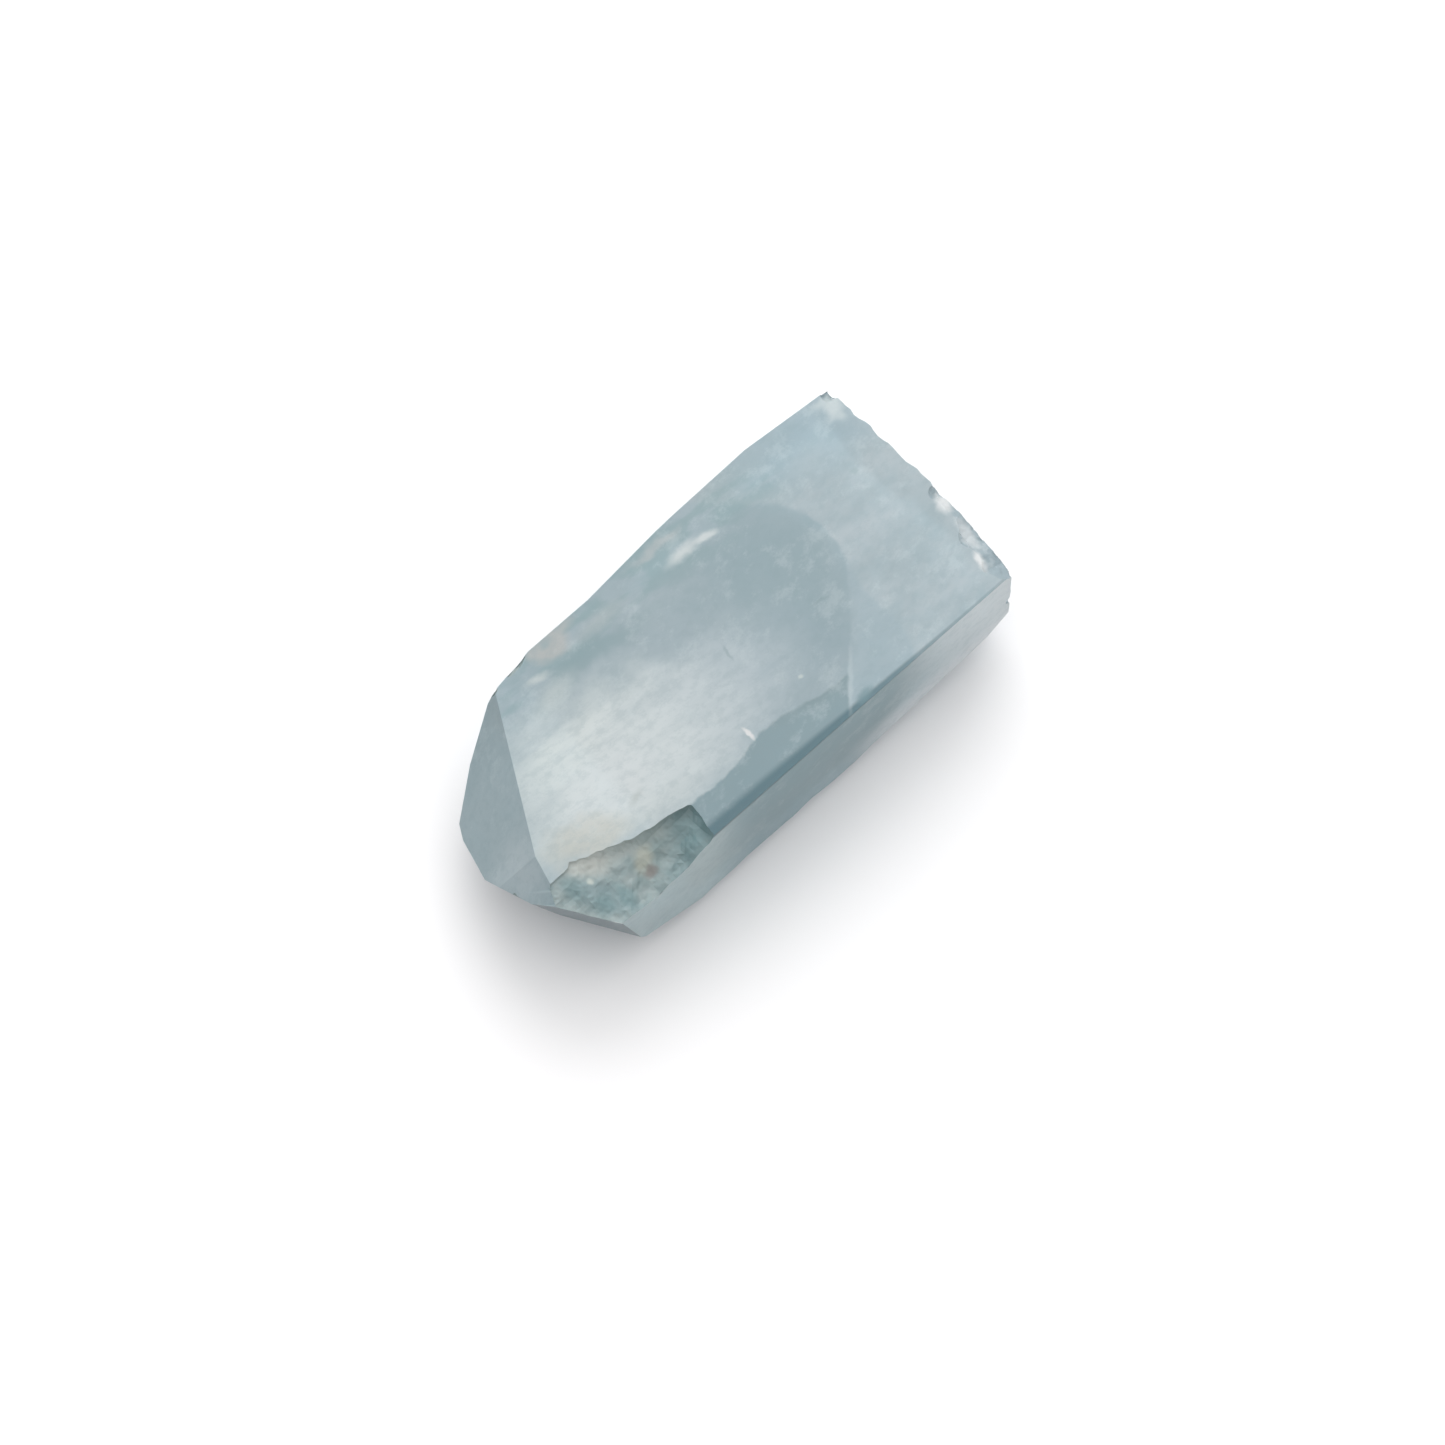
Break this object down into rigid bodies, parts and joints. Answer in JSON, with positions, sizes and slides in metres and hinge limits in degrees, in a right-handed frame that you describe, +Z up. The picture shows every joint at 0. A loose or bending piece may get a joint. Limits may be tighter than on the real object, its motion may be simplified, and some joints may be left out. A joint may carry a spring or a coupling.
{
  "type": "barite crystal",
  "caption": "Loose pale blue prismatic barite crystal, slanted natural tip at one end and a rough break at the other, lying on a flat underside.",
  "frame": {"origin": "under the middle of the crystal's box, on the surface that it lies on", "axes": "+X along the prism from the natural tip to the broken end, +Z up through the broad upper face, -Y the near long side"},
  "size_m": [0.0272, 0.0128, 0.0062],
  "materials": {
    "barite": "cloudy, vitreous faces and duller broken faces"
  },
  "bodies": {
    "root": {"barite_crystal": "barite"}
  },
  "joints": []
}
